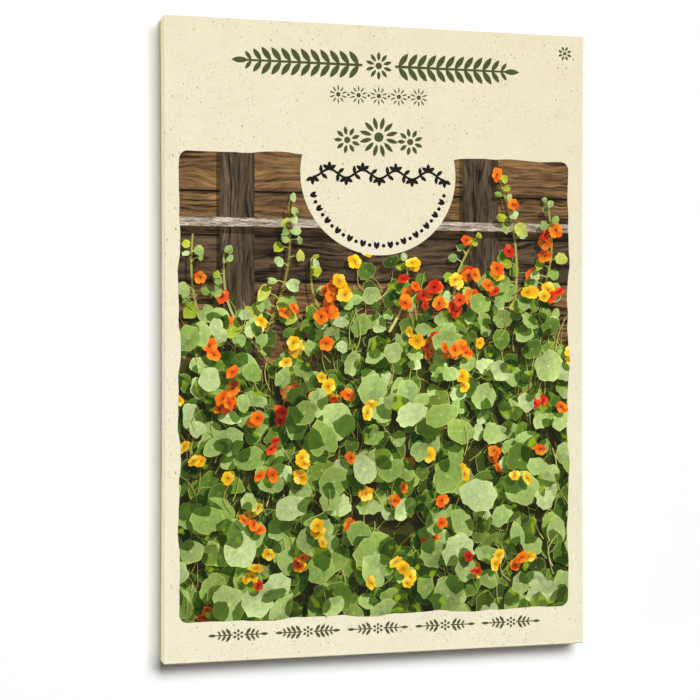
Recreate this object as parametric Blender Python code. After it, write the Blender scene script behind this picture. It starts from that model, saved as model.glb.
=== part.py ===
"""A sealed paper seed packet lying on its back, with its seeds inside.

The packet is one sheet of stiff grass paper. Its front panel turns down into
four low walls. The side walls turn in under it as two back panels, which
overlap in a glued seam, and the end walls turn in as two flaps, which are
glued over the back panels. X runs along the packet's width, Y towards its
printed top, and Z out of its front.
"""

import math
import random

import bmesh
import bpy
from mathutils import Vector

# Driving dimensions in metres: the packet
WIDTH = 0.115
HEIGHT = 0.165
DEPTH = 0.006
PAPER = 0.0003
FOLD = 0.0005
CROWN = 0.0003
PINCH = 0.0003

# The back: layers from the bottom up are flap, glue, panel, glue, panel
LAYER_GAP = 0.00026
GLUE = 0.00016
SEAM_HALF = 0.006
STEP_START = 0.010
STEP_END = 0.007
PANEL_INSET = 0.0008
FLAP_INSET = 0.0015
FLAP_TAPER = 0.005
FLAP_CORNER = 0.004
BOTTOM_FLAP = 0.018
TOP_FLAP = 0.022

# The seeds, as length, width and thickness
SEED = (0.0064, 0.0054, 0.0040)
SEED_COUNT = 14
SEED_FIELD = (0.078, 0.072)
SEED_FIELD_Y = -0.026
SEED_SPACING = 0.0074
SEED_CLEARANCE = 0.0001
SEED_RELIEF = 0.045

# How finely curves and panels are divided
FOLD_STEPS = 4
PANEL_COLUMNS = 12
PANEL_ROWS = 16
FLAP_ROWS = 8
SEED_SIDES = 24
SEED_RINGS = 10

HALF_X = WIDTH / 2 - FOLD
HALF_Y = HEIGHT / 2 - FOLD
OUTER_BACK = PAPER + LAYER_GAP
INNER_BACK = OUTER_BACK + PAPER + LAYER_GAP


def clear_scene():
    for obj in list(bpy.data.objects):
        bpy.data.objects.remove(obj, do_unlink=True)


def make_material(name, colour, roughness):
    material = bpy.data.materials.new(name)
    material.use_nodes = True
    surface = material.node_tree.nodes["Principled BSDF"]
    surface.inputs["Base Color"].default_value = (*colour, 1.0)
    surface.inputs["Roughness"].default_value = roughness
    return material


def add_object(name, mesh, material):
    if not mesh.materials:
        mesh.materials.append(material)
    obj = bpy.data.objects.new(name, mesh)
    bpy.context.collection.objects.link(obj)
    return obj


def stations(half, inset, count):
    """Even stations from -half to half, with one more at each end, inset from it."""
    inner = [-inset + 2 * inset * i / count for i in range(count + 1)]
    return [-half, *inner, half]


def fold_angles():
    return [math.pi / 2 * i / FOLD_STEPS for i in range(FOLD_STEPS + 1)]


def skin(sheet, rows):
    """Adds the quads between rows of points, which are welded later."""
    grid = [[sheet.verts.new(point) for point in row] for row in rows]
    for low, high in zip(grid, grid[1:]):
        for i in range(len(low) - 1):
            sheet.faces.new((low[i], low[i + 1], high[i + 1], high[i]))


def front_panel(sheet, xs, ys):
    skin(sheet, [[(x, y, DEPTH) for x in xs] for y in ys])


def side_wall(sheet, side, ys):
    """The fold at the front and the wall below it, down to the back fold."""
    rows = []
    for angle in fold_angles():
        x = side * (HALF_X + FOLD * math.sin(angle))
        z = DEPTH - FOLD + FOLD * math.cos(angle)
        rows.append([(x, y, z) for y in ys])
    rows.append([(side * WIDTH / 2, y, OUTER_BACK + FOLD) for y in ys])
    skin(sheet, rows)


def end_wall(sheet, end, xs):
    """The fold at the front and the wall below it, down to the flap's fold."""
    rows = []
    for angle in fold_angles():
        y = end * (HALF_Y + FOLD * math.sin(angle))
        z = DEPTH - FOLD + FOLD * math.cos(angle)
        rows.append([(x, y, z) for x in xs])
    rows.append([(x, end * HEIGHT / 2, FOLD) for x in xs])
    skin(sheet, rows)


def corner(sheet, side, end):
    """The rounded corner: an eighth of a ball with a quarter of a tube below it."""
    rows = []
    for tilt in fold_angles():
        reach = FOLD * math.sin(tilt)
        z = DEPTH - FOLD + FOLD * math.cos(tilt)
        rows.append([corner_point(side, end, turn, reach, z) for turn in fold_angles()])
    low = []
    for turn in fold_angles():
        share = turn / (math.pi / 2)
        z = (OUTER_BACK + FOLD) * (1 - share) + FOLD * share
        low.append(corner_point(side, end, turn, FOLD, z))
    rows.append(low)
    skin(sheet, rows)


def corner_point(side, end, turn, reach, z):
    x = side * (HALF_X + reach * math.cos(turn))
    y = end * (HALF_Y + reach * math.sin(turn))
    return (x, y, z)


def back_panel(sheet, side, ys, profile):
    """The fold under a side wall, then the panel along profile, as (x, z) pairs."""
    rows = []
    for angle in fold_angles():
        x = side * (HALF_X + FOLD * math.cos(angle))
        z = OUTER_BACK + FOLD - FOLD * math.sin(angle)
        rows.append([(x, y, z) for y in ys])
    rows += [[(x, y, z) for y in ys] for x, z in profile]
    skin(sheet, rows)


def even_run(start, stop, count):
    return [start + (stop - start) * i / count for i in range(1, count + 1)]


def outer_profile():
    """The panel from the packet's left, flat to its edge past the middle."""
    return [(x, OUTER_BACK) for x in even_run(-HALF_X, SEAM_HALF, 6)]


def inner_profile():
    """The panel from the right, which steps up to lie under the outer one."""
    level = [(x, OUTER_BACK) for x in even_run(HALF_X, STEP_START, 5)]
    raised = [(x, INNER_BACK) for x in even_run(STEP_END, -SEAM_HALF, 2)]
    return [*level, (STEP_END, INNER_BACK), *raised]


def flap(sheet, end, xs, length):
    """The fold under an end wall, then a flap that narrows to rounded corners."""
    rows = []
    for angle in fold_angles():
        y = end * (HALF_Y + FOLD * math.cos(angle))
        z = FOLD - FOLD * math.sin(angle)
        rows.append([(x, y, z) for x in xs])
    straight = length - FLAP_CORNER
    depths = even_run(0, straight, 3)
    arc = [math.pi / 2 * i / (FLAP_ROWS - 3) for i in range(1, FLAP_ROWS - 2)]
    depths += [straight + FLAP_CORNER * math.sin(a) for a in arc]
    for depth in depths:
        past = max(depth - straight, 0) / FLAP_CORNER
        cut = FLAP_CORNER * (1 - math.sqrt(max(1 - past * past, 0)))
        half = xs[-1] - FLAP_TAPER * depth / length - cut
        y = end * (HALF_Y - depth)
        rows.append([(x * half / xs[-1], y, 0) for x in xs])
    skin(sheet, rows)


def ease(point):
    """Crowns the front a little and draws the sides in at mid height, as paper does."""
    across = 1 - (point.x / HALF_X) ** 2
    along = 1 - (point.y / HALF_Y) ** 2
    if point.z > DEPTH - PAPER / 2:
        point.z += CROWN * max(across, 0) * max(along, 0)
    point.x *= 1 - 2 * PINCH / WIDTH * max(along, 0)
    return point


def make_envelope(material):
    xs = stations(HALF_X, WIDTH / 2 - FLAP_INSET, PANEL_COLUMNS)
    ys = stations(HALF_Y, HEIGHT / 2 - PANEL_INSET, PANEL_ROWS)
    sheet = bmesh.new()
    front_panel(sheet, xs, ys)
    for side in (-1, 1):
        side_wall(sheet, side, ys)
    for end in (-1, 1):
        end_wall(sheet, end, xs)
        for side in (-1, 1):
            corner(sheet, side, end)
    back_panel(sheet, -1, ys[1:-1], outer_profile())
    back_panel(sheet, 1, ys[1:-1], inner_profile())
    flap(sheet, -1, xs[1:-1], BOTTOM_FLAP)
    flap(sheet, 1, xs[1:-1], TOP_FLAP)
    bmesh.ops.remove_doubles(sheet, verts=sheet.verts, dist=1e-6)
    bmesh.ops.recalc_face_normals(sheet, faces=sheet.faces)
    sheet.faces.ensure_lookup_table()
    highest = max(sheet.faces, key=lambda face: face.calc_center_median().z)
    if highest.normal.z < 0:
        bmesh.ops.reverse_faces(sheet, faces=sheet.faces)
    for vertex in sheet.verts:
        vertex.co = ease(vertex.co.copy())
    mesh = bpy.data.meshes.new("paper_envelope")
    sheet.to_mesh(mesh)
    sheet.free()
    mesh.shade_smooth()
    mesh.set_sharp_from_angle(angle=math.radians(40))
    obj = add_object("paper_envelope", mesh, material)
    thickness = obj.modifiers.new("Paper thickness", "SOLIDIFY")
    thickness.thickness = PAPER
    thickness.offset = -1
    thickness.use_even_offset = True
    thickness.use_rim = True


def make_glue(name, half_x, y_low, y_high, level, material):
    """A flat film of adhesive with rounded ends, midway in the gap above a layer."""
    half = (y_high - y_low) / 2
    radius = min(half, half_x)
    film = bmesh.new()
    outline = []
    for sx, sy, start in ((1, 1, 0), (-1, 1, 1), (-1, -1, 2), (1, -1, 3)):
        for step in range(FOLD_STEPS + 1):
            angle = math.pi / 2 * (start + step / FOLD_STEPS)
            x = sx * (half_x - radius) + radius * math.cos(angle)
            y = (y_low + y_high) / 2 + sy * (half - radius) + radius * math.sin(angle)
            outline.append(film.verts.new((x, y, level + (LAYER_GAP - GLUE) / 2)))
    base = film.faces.new(outline)
    top = bmesh.ops.extrude_face_region(film, geom=[base])
    raised = [item for item in top["geom"] if isinstance(item, bmesh.types.BMVert)]
    bmesh.ops.translate(film, verts=raised, vec=(0, 0, GLUE))
    bmesh.ops.remove_doubles(film, verts=film.verts, dist=1e-6)
    bmesh.ops.recalc_face_normals(film, faces=film.faces)
    mesh = bpy.data.meshes.new(name)
    film.to_mesh(mesh)
    film.free()
    add_object(name, mesh, material)


def seed_radius(turn, lean):
    """A seed's girth, as a share of 1: three blunt sides, and ribs that fade at the poles."""
    waist = math.cos(lean)
    sides = math.cos(3 * turn)
    ribs = math.cos(8 * turn + 1.5 * math.sin(2 * lean))
    return 1 - SEED_RELIEF * (2 - (sides + ribs) * waist)


def seed_mesh(material):
    body = bmesh.new()
    south = body.verts.new((0, 0, -SEED[2] / 2))
    north = body.verts.new((0, 0, SEED[2] / 2))
    rings = []
    for ring in range(1, SEED_RINGS):
        lean = math.pi * (ring / SEED_RINGS - 0.5)
        points = []
        for side in range(SEED_SIDES):
            turn = 2 * math.pi * side / SEED_SIDES
            radius = seed_radius(turn, lean)
            x = SEED[0] / 2 * radius * math.cos(lean) * math.cos(turn)
            y = SEED[1] / 2 * radius * math.cos(lean) * math.sin(turn)
            z = SEED[2] / 2 * math.sin(lean)
            points.append(body.verts.new((x, y, z)))
        rings.append(points)
    for side in range(SEED_SIDES):
        following = (side + 1) % SEED_SIDES
        body.faces.new((south, rings[0][following], rings[0][side]))
        body.faces.new((north, rings[-1][side], rings[-1][following]))
        for low, high in zip(rings, rings[1:]):
            body.faces.new((low[side], low[following], high[following], high[side]))
    bmesh.ops.triangulate(body, faces=body.faces)
    mesh = bpy.data.meshes.new("seed")
    body.to_mesh(mesh)
    body.free()
    mesh.shade_smooth()
    mesh.materials.append(material)
    return mesh


def seed_places():
    """Seeded random places in the lower half of the packet, none touching."""
    draw = random.Random(7)
    places = []
    while len(places) < SEED_COUNT:
        x = draw.uniform(-0.5, 0.5) * SEED_FIELD[0]
        y = SEED_FIELD_Y + draw.uniform(-0.5, 0.5) * SEED_FIELD[1]
        turn = draw.uniform(0, 2 * math.pi)
        if all(math.hypot(x - a, y - b) > SEED_SPACING for a, b, _ in places):
            places.append((x, y, turn))
    return places


def make_seeds(material):
    mesh = seed_mesh(material)
    for number, (x, y, turn) in enumerate(seed_places(), start=1):
        over_seam = abs(x) < STEP_START + SEED[0] / 2
        floor = (INNER_BACK if over_seam else OUTER_BACK) + PAPER
        obj = add_object(f"seed_{number:02d}", mesh, material)
        obj.location = Vector((x, y, floor + SEED_CLEARANCE + SEED[2] / 2))
        obj.rotation_euler = (0, 0, turn)


def main():
    clear_scene()
    paper = make_material("Grass paper", (0.888, 0.800, 0.605), 0.92)
    adhesive = make_material("Dry paste", (0.80, 0.72, 0.55), 0.45)
    husk = make_material("Seed husk", (0.40, 0.28, 0.15), 0.85)
    make_envelope(paper)
    seam_end = HEIGHT / 2 - 0.002
    make_glue("back_seam_glue", 0.004, -seam_end, seam_end, OUTER_BACK + PAPER, adhesive)
    low_edge = -HEIGHT / 2 + 0.007
    make_glue("bottom_flap_glue", 0.046, low_edge, low_edge + 0.007, PAPER, adhesive)
    high_edge = HEIGHT / 2 - 0.007
    make_glue("top_flap_glue", 0.046, high_edge - 0.009, high_edge, PAPER, adhesive)
    make_seeds(husk)


main()
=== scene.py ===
# %% [markdown]
# # A paper seed packet
# The object is a flat packet of cream grass paper, folded and pasted, with seeds inside. Nearly all of its
# look is in two things: the soft, speckled paper, and what is printed on the front. The folded solid comes
# from the frame. This script gives it paper that looks like paper, and lays the print on it.

# %% Load the frame
import math
import random
from collections import namedtuple

import bmesh
import bpy
from mathutils import Matrix, Vector
from mathutils.bvhtree import BVHTree
from mathutils.geometry import delaunay_2d_cdt


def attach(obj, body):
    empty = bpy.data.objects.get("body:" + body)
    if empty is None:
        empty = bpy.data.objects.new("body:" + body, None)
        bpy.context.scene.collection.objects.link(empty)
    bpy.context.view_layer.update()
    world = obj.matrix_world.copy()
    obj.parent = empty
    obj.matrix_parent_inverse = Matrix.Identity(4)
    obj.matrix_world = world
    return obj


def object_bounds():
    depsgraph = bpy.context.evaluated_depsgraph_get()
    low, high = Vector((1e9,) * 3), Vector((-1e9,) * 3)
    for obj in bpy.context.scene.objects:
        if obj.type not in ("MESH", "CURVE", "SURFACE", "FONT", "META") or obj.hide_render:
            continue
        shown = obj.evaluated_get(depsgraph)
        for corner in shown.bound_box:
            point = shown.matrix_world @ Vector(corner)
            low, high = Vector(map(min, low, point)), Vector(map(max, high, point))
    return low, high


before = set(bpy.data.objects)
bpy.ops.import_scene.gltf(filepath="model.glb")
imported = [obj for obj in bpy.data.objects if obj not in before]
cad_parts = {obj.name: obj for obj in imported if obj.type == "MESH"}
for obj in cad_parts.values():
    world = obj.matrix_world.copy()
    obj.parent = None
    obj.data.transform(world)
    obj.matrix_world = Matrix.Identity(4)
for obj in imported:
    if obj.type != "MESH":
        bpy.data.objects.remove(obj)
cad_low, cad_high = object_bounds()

print("nodes in the frame:", ", ".join(sorted(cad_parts)))

# %% [markdown]
# ## Measures taken from the packet
# The packet lies on its back with its origin under its middle, X across the front and Y towards the top. The
# print is drawn in millimetres on the front, so one unit of a drawing is one millimetre of paper.

# %% The packet's own measures
MM = 0.001
WIDTH = (cad_high.x - cad_low.x) / MM
HEIGHT = (cad_high.y - cad_low.y) / MM
DEPTH = cad_high.z / MM
print(f"packet {WIDTH:.1f} x {HEIGHT:.1f} x {DEPTH:.1f} mm")

# %% [markdown]
# ## The camera
# The photograph looks at the front from about 15 degrees to its left, through a long lens, level with the
# packet's middle. Here the packet lies on its back, so the camera looks down on it at that same angle.

# %% The camera
CAMERA_PLACE = Vector((-0.12115, -0.00129, 0.41825))
CAMERA_TURN = math.radians(15.283)
CAMERA_TILT = math.radians(0.180)
LENS = 84.11

camera_data = bpy.data.cameras.new("camera")
camera_data.lens = LENS
camera_data.sensor_width = 36
camera = bpy.data.objects.new("camera", camera_data)
bpy.context.collection.objects.link(camera)
look = Matrix.Rotation(CAMERA_TILT, 3, "X") @ Matrix.Rotation(CAMERA_TURN, 3, "Y")
camera.matrix_world = Matrix.Translation(CAMERA_PLACE) @ look.transposed().to_4x4()
bpy.context.scene.camera = camera
print("the camera is", round(CAMERA_PLACE.length / MM), "mm from the packet")

# %% [markdown]
# ## The floor
# The packet lies on a plain white floor, like the clean white ground of the photograph. The floor is a plane
# far larger than the packet, set a hair below it so that the two never flicker where they meet.

# %% Floor
FLOOR_SIZE = 20.0
FLOOR_DROP = 0.00002
FLOOR_TONE = (0.95, 0.95, 0.95)


def plain_material(name, colour, roughness):
    material = bpy.data.materials.new(name)
    material.use_nodes = True
    surface = material.node_tree.nodes["Principled BSDF"]
    surface.inputs["Base Color"].default_value = (*colour, 1)
    surface.inputs["Roughness"].default_value = roughness
    surface.inputs["Specular IOR Level"].default_value = 0.2
    return material


bpy.ops.mesh.primitive_plane_add(size=FLOOR_SIZE, location=(0, 0, -FLOOR_DROP))
floor = bpy.context.object
floor.name = "floor"
floor.data.materials.append(plain_material("floor_white", FLOOR_TONE, 0.9))
print("floor", FLOOR_SIZE, "m square,", FLOOR_DROP / MM, "mm below the packet")

# %% [markdown]
# ## The light
# The photograph's shadow lies below the packet and to its left. The part below starts darker and ends sharper
# than the part on the left, so the light is a panel twice as wide as it is tall, above and beyond the packet
# and a little to its right. A weak light low on the left keeps the side wall from going dark, and the world
# adds a little from all round. Seen directly, past the floor's far edge, the world is a pale backdrop.

# %% Lights
PANEL_WAY = Vector((0.32, 0.64, 1.0)).normalized()
PANEL_AWAY = 12.0
PANEL_SIZE = (10.0, 5.0)
PANEL_POWER = 2020.0
SIDE_FROM = Vector((-1.0, -0.1, 0.035))
SIDE_STRENGTH = 1.6
SIDE_WIDTH = math.radians(8)
AROUND_STRENGTH = 0.03
BACKDROP_STRENGTH = 0.9


def add_light(name, kind, energy, came_from):
    data = bpy.data.lights.new(name, kind)
    data.energy = energy
    light = bpy.data.objects.new(name, data)
    light.rotation_mode = "QUATERNION"
    light.rotation_quaternion = came_from.to_track_quat("Z", "Y")
    bpy.context.collection.objects.link(light)
    return light


key_light = add_light("key_light", "AREA", PANEL_POWER, PANEL_WAY)
key_light.location = PANEL_WAY * PANEL_AWAY
key_light.data.shape = "RECTANGLE"
key_light.data.size, key_light.data.size_y = PANEL_SIZE
side_light = add_light("side_light", "SUN", SIDE_STRENGTH, SIDE_FROM)
side_light.data.angle = SIDE_WIDTH
print("a light panel of", PANEL_SIZE, "m and a weak side light")

# %% The world
world = bpy.data.worlds.new("studio")
world.use_nodes = True
studio = world.node_tree
background = studio.nodes["Background"]
background.inputs["Color"].default_value = (1, 1, 1, 1)
seen = studio.nodes.new("ShaderNodeLightPath").outputs["Is Camera Ray"]
level = studio.nodes.new("ShaderNodeMapRange")
level.inputs["To Min"].default_value = AROUND_STRENGTH
level.inputs["To Max"].default_value = BACKDROP_STRENGTH
studio.links.new(seen, level.inputs["Value"])
studio.links.new(level.outputs[0], background.inputs["Strength"])
bpy.context.scene.world = world
bpy.context.scene.view_settings.view_transform = "Standard"
print("world light", AROUND_STRENGTH, "and backdrop", BACKDROP_STRENGTH)

# %% [markdown]
# ## Small helpers for materials
# A finish here is a chain of simple sums on noise. These helpers add one node each and hand back its output,
# so that a finish reads like the sums it is made of.

# %% Helpers for sums


def wire(tree, socket, value):
    """Sets a socket to a value, or links it if the value is another node's output."""
    if isinstance(value, bpy.types.NodeSocket):
        tree.links.new(value, socket)
    else:
        socket.default_value = value


def sums(tree, operation, *values):
    node = tree.nodes.new("ShaderNodeMath")
    node.operation = operation
    for socket, value in zip(node.inputs, values):
        wire(tree, socket, value)
    return node.outputs[0]


def times(tree, first, *others):
    for value in others:
        first = sums(tree, "MULTIPLY", first, value)
    return first


def plus(tree, first, *others):
    for value in others:
        first = sums(tree, "ADD", first, value)
    return first


def ramp(tree, value, low, high, out_low=0.0, out_high=1.0):
    """A smooth step from out_low to out_high as value goes from low to high."""
    node = tree.nodes.new("ShaderNodeMapRange")
    node.interpolation_type = "SMOOTHSTEP"
    for name, given in (("Value", value), ("From Min", low), ("From Max", high)):
        wire(tree, node.inputs[name], given)
    node.inputs["To Min"].default_value = out_low
    node.inputs["To Max"].default_value = out_high
    return node.outputs[0]


print("helpers for sums and smooth steps")

# %% Helpers for colours


def colour4(value):
    return value if isinstance(value, bpy.types.NodeSocket) else (*value, 1)


def blend_colour(tree, share, first, second, mode="MIX"):
    node = tree.nodes.new("ShaderNodeMix")
    node.data_type = "RGBA"
    node.blend_type = mode
    wire(tree, node.inputs["Factor"], share)
    wire(tree, node.inputs["A"], colour4(first))
    wire(tree, node.inputs["B"], colour4(second))
    return node.outputs["Result"]


def scaled(tree, colour, share):
    """A colour made lighter or darker by a plain number."""
    node = tree.nodes.new("ShaderNodeVectorMath")
    node.operation = "SCALE"
    wire(tree, node.inputs[0], colour)
    wire(tree, node.inputs["Scale"], share)
    return node.outputs[0]


def srgb(red, green, blue):
    """A colour given as the 0 to 255 values of a screen, as linear light."""
    shares = (value / 255 for value in (red, green, blue))
    return tuple(c / 12.92 if c < 0.04045 else ((c + 0.055) / 1.055) ** 2.4 for c in shares)


def dim(colour, share):
    return tuple(part * share for part in colour)


print("a screen's middle grey is", round(srgb(128, 128, 128)[0], 3), "in linear light")

# %% Helpers for noise


def noise(tree, where, scale, detail=2.0, roughness=0.5):
    node = tree.nodes.new("ShaderNodeTexNoise")
    wire(tree, node.inputs["Vector"], where)
    node.inputs["Scale"].default_value = scale
    node.inputs["Detail"].default_value = detail
    node.inputs["Roughness"].default_value = roughness
    return node.outputs["Fac"]


def stretched(tree, where, scale, turn=0.0):
    """The coordinates scaled on each axis, so that noise on them runs into streaks."""
    node = tree.nodes.new("ShaderNodeMapping")
    wire(tree, node.inputs["Vector"], where)
    node.inputs["Scale"].default_value = scale
    node.inputs["Rotation"].default_value = (0, 0, turn)
    return node.outputs["Vector"]


def split(tree, vector):
    node = tree.nodes.new("ShaderNodeSeparateXYZ")
    wire(tree, node.inputs[0], vector)
    return node.outputs


print("helpers for noise and coordinates")

# %% [markdown]
# ## Grass paper
# Grass paper is wood pulp with up to half dried grass in it. It is a warm cream, quite matt, with a soft
# cloudiness, many tiny flecks and a few longer fibres in grey-brown. Clouds are broad noise, flecks are the
# small cores of a cell pattern that only some cells keep, and fibres are thin bands of stretched noise.

# %% The paper finish
PAPER_TONE = (0.876, 0.814, 0.615)
PAPER_SHADE = (0.836, 0.775, 0.575)
FLECK_TONE = srgb(136, 118, 84)
FIBRE_TONE = srgb(196, 184, 148)
FIBRE_TURNS = ((0.5, 0.3), (1.7, 1.1), (2.6, 2.2))
FLECKS = ((1250, 0.2, 0.36, 0.8), (800, 0.07, 0.25, 0.9), (2500, 0.36, 0.5, 0.5))


def flecks(tree, where, scale, kept, size):
    """Scattered crumbs, longer than wide: one in each cell whose own number is under kept.

    The scale also turns the pattern, so that no two sizes lie alike.
    """
    cells = tree.nodes.new("ShaderNodeTexVoronoi")
    wire(tree, cells.inputs["Vector"], stretched(tree, where, (1.0, 0.62, 1.0), scale))
    cells.inputs["Scale"].default_value = scale
    draw = split(tree, cells.outputs["Color"])
    present = sums(tree, "LESS_THAN", draw[0], kept)
    reach = times(tree, draw[1], size)
    spot = ramp(tree, cells.outputs["Distance"], reach, times(tree, reach, 0.5))
    return times(tree, present, spot)


def fibres(tree, where, turn, patch_turn):
    """Thin short threads, where a stretched noise crosses its middle value, in scattered patches."""
    along = stretched(tree, where, (260, 1500, 300), turn)
    wave = noise(tree, along, 1.0, 1.0)
    thread = ramp(tree, sums(tree, "ABSOLUTE", sums(tree, "SUBTRACT", wave, 0.5)), 0.012, 0.004)
    patches = noise(tree, stretched(tree, where, (1, 1, 1), patch_turn), 420, 1.0)
    patch = ramp(tree, patches, 0.60, 0.66)
    return times(tree, thread, patch)


def paper_colour(tree, where):
    clouds = noise(tree, where, 130, 5.0, 0.65)
    tone = blend_colour(tree, ramp(tree, clouds, 0.3, 0.75), PAPER_TONE, PAPER_SHADE)
    felt = ramp(tree, noise(tree, where, 1700, 3.0, 0.7), 0.3, 0.7, 0.965, 1.035)
    tone = scaled(tree, tone, felt)
    for turn, patch_turn in FIBRE_TURNS:
        threads = times(tree, fibres(tree, where, turn, patch_turn), 0.3)
        tone = blend_colour(tree, threads, tone, FIBRE_TONE)
    crowd = ramp(tree, noise(tree, where, 75, 1.0), 0.42, 0.62, 0.25, 1.0)
    for scale, kept, size, weight in FLECKS:
        dots = times(tree, flecks(tree, where, scale, kept, size), weight)
        tone = blend_colour(tree, times(tree, dots, crowd), tone, FLECK_TONE)
    return tone


def paper_bump(tree, where, strength):
    felt = noise(tree, where, 1400, 3.0, 0.6)
    broad = noise(tree, where, 160, 2.0)
    height = plus(tree, times(tree, felt, 0.35), broad)
    node = tree.nodes.new("ShaderNodeBump")
    node.inputs["Strength"].default_value = strength
    node.inputs["Distance"].default_value = 0.0001
    wire(tree, node.inputs["Height"], height)
    return node.outputs["Normal"]


print("paper with", len(FLECKS), "sizes of fleck")

# %% [markdown]
# ## Paper on the packet
# The sheet carries painted shade, darker and a shade warmer towards its top right corner. The folds have a
# painted highlight along the sides and the foot, the top fold has painted shade, and the side walls are
# yellower. All of that is told from how far a point is from the packet's own edges, so it stays in place
# from every side.

# %% Dress the packet in paper
# Painted shade: the paper is darker and warmer towards its top right corner.
FAR_PAINTED_SHADE = (0.94, 0.915, 0.866)
# Painted highlight on the folds along the sides and the foot.
FOLD_HIGHLIGHT_TONE = srgb(252, 246, 218)
WALL_TONE = srgb(236, 229, 168)
# Painted shade on the fold along the top.
HEAD_PAINTED_SHADE = 0.74


def new_finish(name, roughness):
    """A material with its tree, its surface node and where on the object a point is."""
    material = plain_material(name, (1, 1, 1), roughness)
    tree = material.node_tree
    surface = tree.nodes["Principled BSDF"]
    where = tree.nodes.new("ShaderNodeTexCoord").outputs["Object"]
    return material, tree, surface, where


def make_paper():
    material, tree, surface, where = new_finish("grass_paper", 0.93)
    tone = paper_colour(tree, where)
    place = split(tree, where)
    # Painted shade: darker and warmer towards the top right corner.
    far_shade_share = ramp(tree, plus(tree, place[0], place[1]), -160 * MM, 200 * MM)
    far_painted_shade = blend_colour(tree, far_shade_share, (1, 1, 1), FAR_PAINTED_SHADE)
    tone = blend_colour(tree, 1.0, tone, far_painted_shade, "MULTIPLY")
    across = sums(tree, "ABSOLUTE", place[0])
    # Painted highlight: paler along the folds at the sides and the foot.
    side_highlight = ramp(tree, across, (WIDTH / 2 - 1.0) * MM, (WIDTH / 2 - 0.2) * MM, 0.0, 0.12)
    foot_highlight = ramp(tree, place[1], (1.1 - HEIGHT / 2) * MM, (0.1 - HEIGHT / 2) * MM, 0.0, 0.7)
    tone = blend_colour(tree, sums(tree, "MAXIMUM", side_highlight, foot_highlight), tone, FOLD_HIGHLIGHT_TONE)
    # Painted shade: darker along the fold at the top.
    head_shade_share = ramp(tree, place[1], (HEIGHT / 2 - 0.6) * MM, (HEIGHT / 2 - 0.05) * MM, 1.0, HEAD_PAINTED_SHADE)
    tone = scaled(tree, tone, head_shade_share)
    wall = ramp(tree, across, (WIDTH / 2 - 0.35) * MM, (WIDTH / 2 - 0.05) * MM, 0.0, 0.65)
    tone = blend_colour(tree, wall, tone, WALL_TONE)
    wire(tree, surface.inputs["Base Color"], tone)
    wire(tree, surface.inputs["Normal"], paper_bump(tree, where, 0.35))
    return material


def dress(node_name, material):
    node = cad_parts[node_name]
    node.data.materials.clear()
    node.data.materials.append(material)


paper = make_paper()
dress("paper_envelope", paper)
print("paper finish has", len(paper.node_tree.nodes), "nodes")

# %% [markdown]
# ## Sealed inside: paste and seeds
# The paste dries to a faintly glossy film. The seeds are dry, corky and pale brown, with darker hollows
# between their ribs. Nobody sees either until the packet is opened.

# %% Paste and seed finishes


def make_paste():
    material, tree, surface, where = new_finish("dry_paste", 0.4)
    streaks = noise(tree, stretched(tree, where, (60, 900, 60)), 1.0, 3.0)
    tone = blend_colour(tree, ramp(tree, streaks, 0.3, 0.7), srgb(224, 213, 182), srgb(205, 190, 152))
    wire(tree, surface.inputs["Base Color"], tone)
    wire(tree, surface.inputs["Roughness"], ramp(tree, streaks, 0.3, 0.7, 0.3, 0.55))
    return material


def make_husk():
    material, tree, surface, where = new_finish("seed_husk", 0.85)
    cork = noise(tree, where, 900, 4.0, 0.65)
    tone = blend_colour(tree, ramp(tree, cork, 0.35, 0.65), srgb(122, 92, 58), srgb(196, 168, 122))
    wire(tree, surface.inputs["Base Color"], tone)
    node = tree.nodes.new("ShaderNodeBump")
    node.inputs["Strength"].default_value = 0.6
    node.inputs["Distance"].default_value = 0.0003
    wire(tree, node.inputs["Height"], cork)
    wire(tree, surface.inputs["Normal"], node.outputs["Normal"])
    return material


paste = make_paste()
husk = make_husk()
sealed = [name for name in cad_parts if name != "paper_envelope"]
for node_name in sealed:
    dress(node_name, husk if node_name.startswith("seed_") else paste)
print("dressed", len(sealed), "sealed pieces")

# %% [markdown]
# ## How the print is made
# Ink has no thickness, so each print is one sheet of triangles, a few hundredths of a millimetre above the
# paper. A drawing is a list of outlines in painting order. A constrained triangulation cuts them all into one
# layer of triangles that don't overlap, and tells which outlines hold each triangle. The last one painted
# gives the triangle its colour, and any shadow painted after it darkens it. Nothing is stacked, so nothing
# flickers, and the edges stay as sharp as print.

# %% Shapes in painting order
SHADOW = "shadow"


def runs_left(outline):
    """True if the outline runs anticlockwise, which is how the triangulation knows its inside."""
    pairs = zip(outline, outline[1:] + outline[:1])
    return sum(a[0] * b[1] - b[0] * a[1] for a, b in pairs) > 0


class Drawing:
    """Outlines in painting order, each with its colour and its own small frame of reference."""

    def __init__(self):
        self.outlines = []
        self.facts = []

    def paint(self, outline, kind, tone, centre=(0, 0), turn=0.0, reach=1.0, squash=1.0, draw=0.0):
        self.outlines.append(outline if runs_left(outline) else outline[::-1])
        self.facts.append((kind, tone, centre, turn, reach, squash, draw))


def turned(x, y, angle):
    c, s = math.cos(angle), math.sin(angle)
    return x * c - y * s, x * s + y * c


def placed(points, centre, turn, squash=1.0):
    """Points in a shape's own frame, squashed along its own Y, turned and put in place."""
    moved = (turned(x, y * squash, turn) for x, y in points)
    return [(x + centre[0], y + centre[1]) for x, y in moved]


def around(centre, reach, angle):
    """The point at a reach and an angle from a centre."""
    return centre[0] + reach * math.cos(angle), centre[1] + reach * math.sin(angle)


def ring(radius, points):
    """Points evenly round a circle."""
    return [around((0, 0), radius, 2 * math.pi * i / points) for i in range(points)]


print("a ring of 12 points runs anticlockwise:", runs_left(ring(1.0, 12)))

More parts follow.
